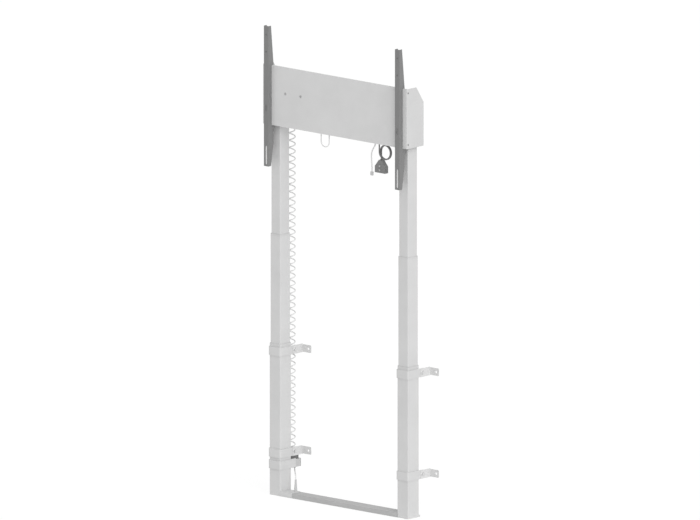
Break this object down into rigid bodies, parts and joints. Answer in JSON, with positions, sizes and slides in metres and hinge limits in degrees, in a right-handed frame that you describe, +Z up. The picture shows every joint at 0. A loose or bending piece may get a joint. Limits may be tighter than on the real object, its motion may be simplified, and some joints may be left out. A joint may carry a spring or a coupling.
{
  "type": "motorised panel lift",
  "caption": "Floor-standing motorised lift: telescoping columns raise a front panel with hooked mounting arms, a curly cord and a wired hand control.",
  "frame": {"origin": "on the floor under the base bar, midway between the columns and on the line of their centres", "axes": "+X to the right seen from the front, +Y to the back towards the wall, +Z up"},
  "size_m": [0.9644, 0.193, 2.18],
  "materials": {
    "column_paint": "satin powder coat",
    "plate_paint": "satin powder coat",
    "panel_paint": "satin powder coat",
    "arm_paint": "matt powder coat",
    "bar_paint": "matt powder coat",
    "cap_plastic": "moulded",
    "nut_plastic": "moulded",
    "box_plastic": "moulded",
    "plug_plastic": "moulded",
    "hand_plastic": "moulded",
    "button_plastic": "moulded",
    "cord_grey": "smooth jacket",
    "cord_dark": "smooth jacket",
    "steel": "zinc plated",
    "motor_paint": "matt paint"
  },
  "bodies": {
    "base": {"foot_plate_left": "plate_paint", "foot_plate_right": "plate_paint", "base_bar": "bar_paint", "bar_cover": "column_paint", "outer_tube_left": "column_paint", "outer_tube_right": "column_paint", "outer_cap_left": "cap_plastic", "outer_cap_right": "cap_plastic", "gear_motor_left": "motor_paint", "gear_motor_right": "motor_paint", "collar_low_left": "column_paint", "collar_low_right": "column_paint", "collar_high_left": "column_paint", "collar_high_right": "column_paint", "brackets_low_left": "plate_paint", "brackets_low_right": "plate_paint", "brackets_high_left": "plate_paint", "brackets_high_right": "plate_paint", "collar_bolts": "steel", "socket_collar": "column_paint", "junction_box": "box_plastic", "cord_plug": "plug_plastic", "feed_lead": "cord_grey", "feed_sleeve": "box_plastic", "curly_cord": "cord_grey"},
    "left_drive": {"drive_screw_left": "steel"},
    "right_drive": {"drive_screw_right": "steel"},
    "left_mid": {"mid_tube_left": "column_paint", "mid_cap_left": "cap_plastic", "mid_slider_left": "cap_plastic", "mid_nut_left": "nut_plastic"},
    "right_mid": {"mid_tube_right": "column_paint", "mid_cap_right": "cap_plastic", "mid_slider_right": "cap_plastic", "mid_nut_right": "nut_plastic"},
    "left_hollow": {"hollow_screw_left": "steel"},
    "right_hollow": {"hollow_screw_right": "steel"},
    "head": {"inner_tube_left": "column_paint", "inner_tube_right": "column_paint", "inner_slider_left": "cap_plastic", "inner_slider_right": "cap_plastic", "inner_nut_left": "nut_plastic", "inner_nut_right": "nut_plastic", "panel_rail_left": "plate_paint", "panel_rail_right": "plate_paint", "front_panel": "panel_paint", "end_plate_left": "plate_paint", "end_plate_right": "plate_paint", "cross_tube": "plate_paint", "control_box": "box_plastic", "cord_anchor": "plate_paint", "link_lead": "cord_grey", "signal_lead": "cord_grey", "signal_plug": "box_plastic", "hand_lead": "cord_dark", "hand_control": "hand_plastic"},
    "left_arm": {"arm_left": "arm_paint"},
    "right_arm": {"arm_right": "arm_paint"},
    "up_key": {"up_button": "button_plastic"},
    "down_key": {"down_button": "button_plastic"}
  },
  "joints": [
    {"name": "head_lift", "type": "slide", "parent": "base", "child": "head", "axis": [0, 0, 1], "range_m": [-0.84, 0], "deforming": ["curly_cord"]},
    {"name": "left_mid_lift", "type": "slide", "parent": "base", "child": "left_mid", "axis": [0, 0, 1], "range_m": [-0.42, 0]},
    {"name": "right_mid_lift", "type": "slide", "parent": "base", "child": "right_mid", "axis": [0, 0, 1], "range_m": [-0.42, 0]},
    {"name": "left_screw_turn", "type": "hinge", "parent": "base", "child": "left_drive", "pos_m": [-0.39, 0, 0.6], "axis": [0, 0, 1], "range_deg": [-7600, 40]},
    {"name": "right_screw_turn", "type": "hinge", "parent": "base", "child": "right_drive", "pos_m": [0.39, 0, 0.6], "axis": [0, 0, 1], "range_deg": [-7600, 40]},
    {"name": "left_hollow_turn", "type": "hinge", "parent": "left_mid", "child": "left_hollow", "pos_m": [-0.39, 0, 0.6], "axis": [0, 0, 1], "range_deg": [-7600, 40]},
    {"name": "right_hollow_turn", "type": "hinge", "parent": "right_mid", "child": "right_hollow", "pos_m": [0.39, 0, 0.6], "axis": [0, 0, 1], "range_deg": [-7600, 40]},
    {"name": "left_arm_slide", "type": "slide", "parent": "head", "child": "left_arm", "axis": [1, 0, 0], "range_m": [0, 0.25]},
    {"name": "right_arm_slide", "type": "slide", "parent": "head", "child": "right_arm", "axis": [-1, 0, 0], "range_m": [0, 0.25]},
    {"name": "up_press", "type": "slide", "parent": "head", "child": "up_key", "axis": [0, 1, 0], "range_m": [0, 0.0015], "stiffness_N_per_m": 400},
    {"name": "down_press", "type": "slide", "parent": "head", "child": "down_key", "axis": [0, 1, 0], "range_m": [0, 0.0015], "stiffness_N_per_m": 400}
  ],
  "couplings": [
    {"joint": "left_mid_lift", "follows": "head_lift", "ratio": 0.5},
    {"joint": "right_mid_lift", "follows": "head_lift", "ratio": 0.5},
    {"joint": "left_screw_turn", "follows": "head_lift", "rad_per_m": 157.08},
    {"joint": "right_screw_turn", "follows": "head_lift", "rad_per_m": 157.08},
    {"joint": "left_hollow_turn", "follows": "head_lift", "rad_per_m": 157.08},
    {"joint": "right_hollow_turn", "follows": "head_lift", "rad_per_m": 157.08}
  ]
}
